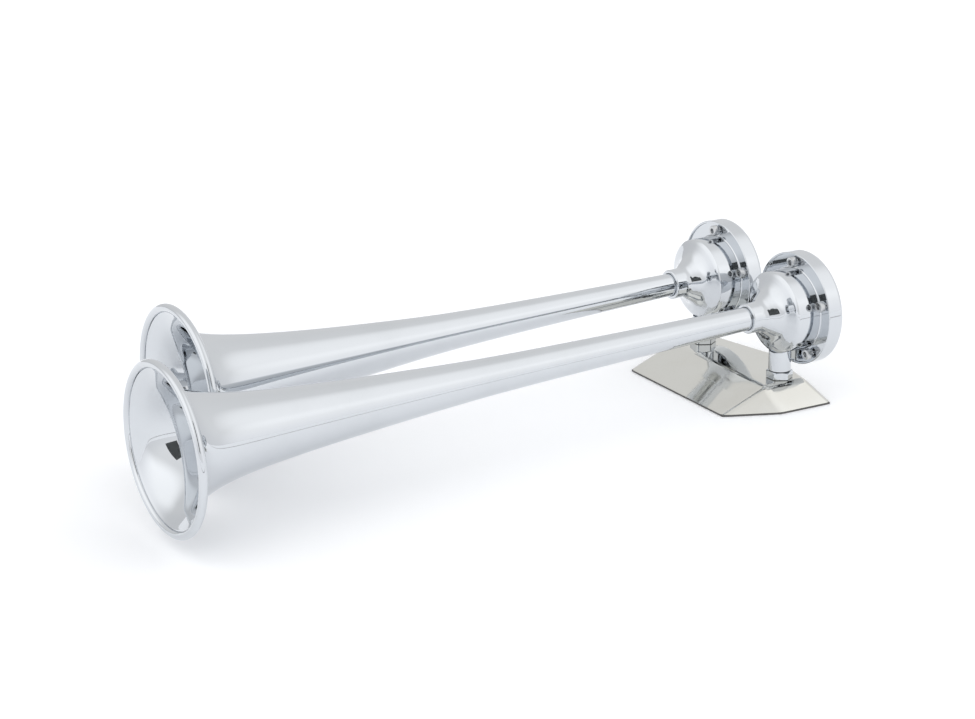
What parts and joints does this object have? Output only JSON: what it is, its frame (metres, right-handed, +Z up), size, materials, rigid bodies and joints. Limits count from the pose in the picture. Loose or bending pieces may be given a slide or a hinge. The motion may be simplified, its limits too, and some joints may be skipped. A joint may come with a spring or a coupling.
{
  "type": "dual trumpet air horn",
  "caption": "Two chromed air horn trumpets of unlike length on round diaphragm housings, standing on posts on one low faceted base.",
  "frame": {"origin": "on the seat, under the base gasket, midway between the two posts, on the posts' centre line", "axes": "+Z up from the seat, the bells open towards -Y, the long trumpet is on the +X side"},
  "size_m": [0.2286, 0.5796, 0.136],
  "materials": {
    "chrome": "polished",
    "base_chrome": "polished",
    "screw_steel": "satin",
    "diaphragm_bronze": "satin",
    "gasket_fibre": "matte",
    "gasket_rubber": "matte"
  },
  "bodies": {
    "base": {"base_shell": "base_chrome", "base_gasket": "gasket_rubber"},
    "near_horn": {"near_trumpet_mouth": "chrome", "near_trumpet_throat": "chrome", "near_trumpet_taper": "chrome", "near_trumpet_tube": "chrome", "near_horn_body": "chrome", "near_front_gasket": "gasket_fibre", "near_rear_gasket": "gasket_fibre", "near_back_cover": "chrome", "near_cover_screw_1": "screw_steel", "near_cover_screw_2": "screw_steel", "near_cover_screw_3": "screw_steel", "near_cover_screw_4": "screw_steel", "near_cover_screw_5": "screw_steel", "near_post": "chrome", "near_post_nut": "chrome", "near_lower_washer": "screw_steel", "near_lower_nut": "screw_steel"},
    "far_horn": {"far_trumpet_mouth": "chrome", "far_trumpet_throat": "chrome", "far_trumpet_taper": "chrome", "far_trumpet_tube": "chrome", "far_horn_body": "chrome", "far_front_gasket": "gasket_fibre", "far_rear_gasket": "gasket_fibre", "far_back_cover": "chrome", "far_cover_screw_1": "screw_steel", "far_cover_screw_2": "screw_steel", "far_cover_screw_3": "screw_steel", "far_cover_screw_4": "screw_steel", "far_cover_screw_5": "screw_steel", "far_post": "chrome", "far_post_nut": "chrome", "far_lower_washer": "screw_steel", "far_lower_nut": "screw_steel"},
    "near_diaphragm": {"near_diaphragm": "diaphragm_bronze"},
    "far_diaphragm": {"far_diaphragm": "diaphragm_bronze"}
  },
  "joints": [
    {"name": "near_horn_swivel", "type": "hinge", "parent": "base", "child": "near_horn", "pos_m": [0.0508, 0, 0], "axis": [0, 0, 1], "range_deg": [0, 12]},
    {"name": "far_horn_swivel", "type": "hinge", "parent": "base", "child": "far_horn", "pos_m": [-0.0508, 0, 0], "axis": [0, 0, 1], "range_deg": [-12, 0]},
    {"name": "near_diaphragm_beat", "type": "slide", "parent": "near_horn", "child": "near_diaphragm", "axis": [0, 1, 0], "range_m": [-0.0003, 0.0003], "stiffness_N_per_m": 5000},
    {"name": "far_diaphragm_beat", "type": "slide", "parent": "far_horn", "child": "far_diaphragm", "axis": [0, 1, 0], "range_m": [-0.0003, 0.0003], "stiffness_N_per_m": 5000}
  ]
}
